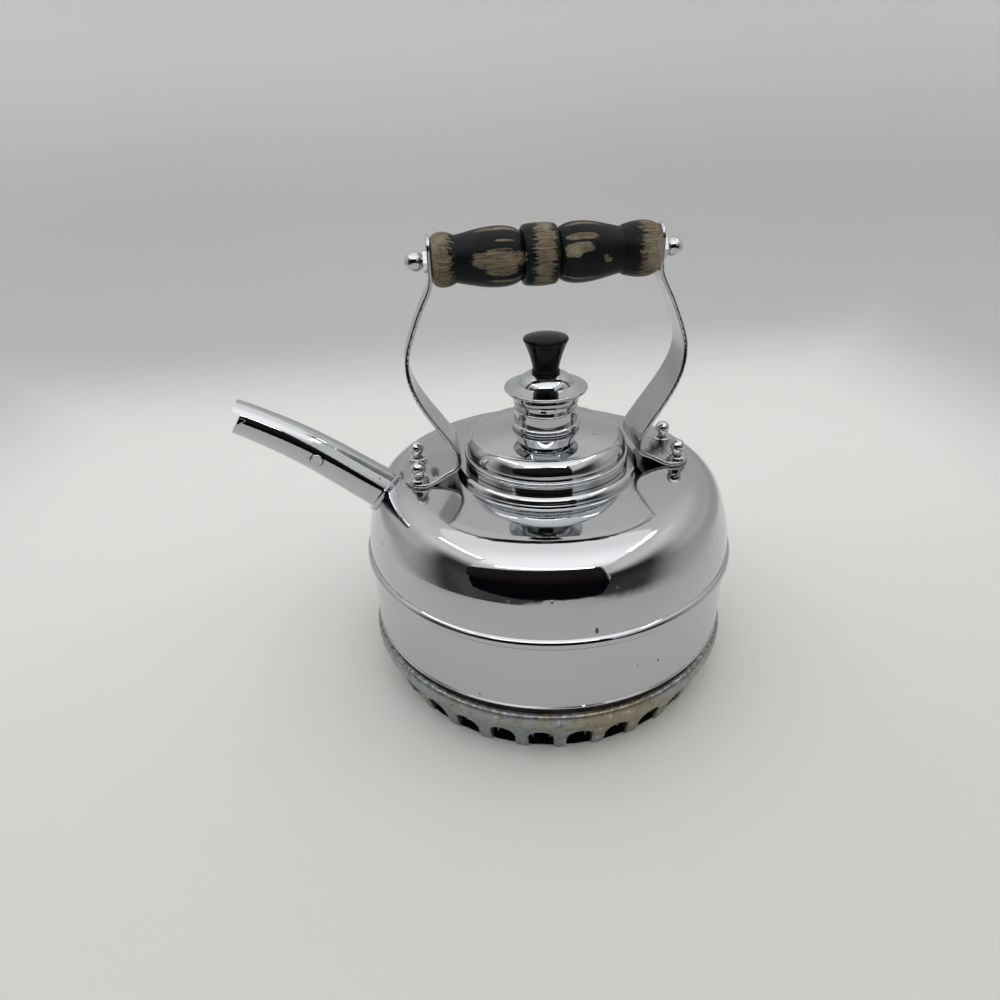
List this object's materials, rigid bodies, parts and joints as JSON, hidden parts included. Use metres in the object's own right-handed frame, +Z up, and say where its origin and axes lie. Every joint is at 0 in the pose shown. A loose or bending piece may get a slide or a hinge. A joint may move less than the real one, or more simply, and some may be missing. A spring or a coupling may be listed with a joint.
{
  "type": "stovetop whistling kettle",
  "caption": "Round chrome-plated stovetop kettle with a tapered spout, a whistling lid, a turned wooden bail grip and a cast heat ring under its base.",
  "frame": {"origin": "on the axis of the round body, on the plane the kettle stands on", "axes": "+Z up along the axis of the body, spout towards -X, handle in the XZ plane, +Y across the handle"},
  "size_m": [0.2672, 0.208, 0.2464],
  "materials": {
    "chrome_shell": "bright plating with fine pits",
    "chrome_bead": "bright plating, worn to copper in small spots",
    "chrome_lid": "bright plating",
    "chrome_spout": "bright plating",
    "chrome_strap": "bright plating, pitted, with dark spots",
    "chrome_small": "bright plating",
    "base_steel": "darkened by heat and soot",
    "cast_ring": "dull, tarnished and pitted casting",
    "fin_metal": "blackened by heat",
    "inner_brass": "plain",
    "flap_brass": "plain, slightly dull",
    "bakelite": "black, satin gloss",
    "painted_wood": "black paint worn through to greyed wood"
  },
  "bodies": {
    "kettle": {"upper_shell": "chrome_shell", "lower_shell": "chrome_shell", "seam_bead": "chrome_bead", "base_plate": "base_steel", "heat_ring": "cast_ring", "fin_sleeve": "fin_metal", "heat_fins": "fin_metal", "neck_collar": "chrome_shell", "spout_tube": "chrome_spout", "spout_collar": "chrome_spout", "spout_pin": "chrome_small", "handle_strap_front": "chrome_strap", "handle_strap_rear": "chrome_strap", "foot_studs": "inner_brass", "foot_ball_nuts": "chrome_small", "inner_washers": "inner_brass", "inner_nuts": "inner_brass", "handle_rod": "inner_brass", "rod_nuts": "chrome_small", "rod_ball_nuts": "chrome_small"},
    "lid": {"lid_shell": "chrome_lid", "lid_top": "chrome_lid", "lid_rim": "chrome_lid", "lid_skirt": "chrome_lid", "lid_turret": "chrome_lid", "steam_tube": "chrome_lid", "whistle_disc_lower": "inner_brass", "whistle_disc_upper": "inner_brass", "whistle_cap": "chrome_lid", "lid_knob": "bakelite", "knob_screw": "inner_brass", "knob_washer": "inner_brass"},
    "grip": {"wooden_grip": "painted_wood"},
    "flap": {"spout_flap": "flap_brass"}
  },
  "joints": [
    {"name": "lid_lift", "type": "slide", "parent": "kettle", "child": "lid", "axis": [0, 0, 1], "range_m": [0, 0.02]},
    {"name": "grip_spin", "type": "hinge", "parent": "kettle", "child": "grip", "pos_m": [0, 0, 0.232], "axis": [1, 0, 0], "continuous": true},
    {"name": "flap_swing", "type": "hinge", "parent": "kettle", "child": "flap", "pos_m": [-0.12234, 0, 0.13819], "axis": [0, 1, 0], "range_deg": [0, 78]}
  ]
}
